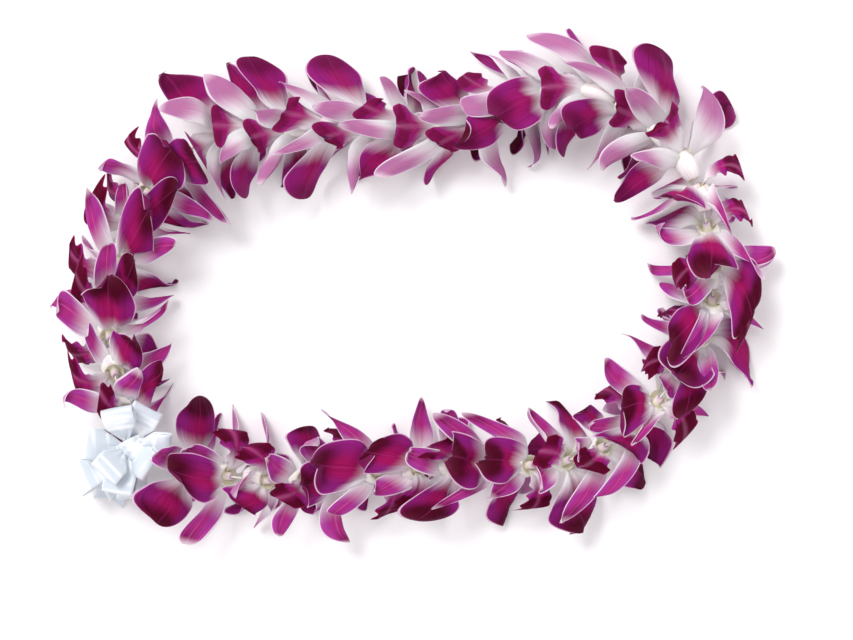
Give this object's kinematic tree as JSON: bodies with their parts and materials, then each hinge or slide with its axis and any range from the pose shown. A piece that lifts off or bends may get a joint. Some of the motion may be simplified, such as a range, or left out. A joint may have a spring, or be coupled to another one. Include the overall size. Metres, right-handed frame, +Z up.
{
  "type": "flower lei",
  "caption": "Fresh flower lei of purple and white orchid blooms threaded on a string loop, with a white ribbon bow, lying flat.",
  "frame": {"origin": "on the surface the lei lies on, below the middle of its outline", "axes": "+Z up from the surface, +X along the lei's long side to the right as the picture shows it, +Y to the picture's top"},
  "size_m": [0.4382, 0.3101, 0.0621],
  "materials": {
    "string": "matt white twisted thread",
    "satin_ribbon": "white satin ribbon with a soft sheen",
    "petals": "fresh orchid petals, deep burgundy to magenta with white bases and thin white rims, slightly waxy"
  },
  "bodies": {
    "root": {"string": "string", "ribbon_bow": "satin_ribbon", "bloom_01": "petals", "bloom_02": "petals", "bloom_03": "petals", "bloom_04": "petals", "bloom_05": "petals", "bloom_06": "petals", "bloom_07": "petals", "bloom_08": "petals", "bloom_09": "petals", "bloom_10": "petals", "bloom_11": "petals", "bloom_12": "petals", "bloom_13": "petals", "bloom_14": "petals", "bloom_15": "petals", "bloom_16": "petals", "bloom_17": "petals", "bloom_18": "petals", "bloom_19": "petals", "bloom_20": "petals", "bloom_21": "petals", "bloom_22": "petals", "bloom_23": "petals", "bloom_24": "petals", "bloom_25": "petals", "bloom_26": "petals", "bloom_27": "petals", "bloom_28": "petals", "bloom_29": "petals", "bloom_30": "petals", "bloom_31": "petals", "bloom_32": "petals", "bloom_33": "petals", "bloom_34": "petals", "bloom_35": "petals", "bloom_36": "petals", "bloom_37": "petals", "bloom_38": "petals", "bloom_39": "petals", "bloom_40": "petals", "bloom_41": "petals", "bloom_42": "petals"}
  },
  "joints": []
}
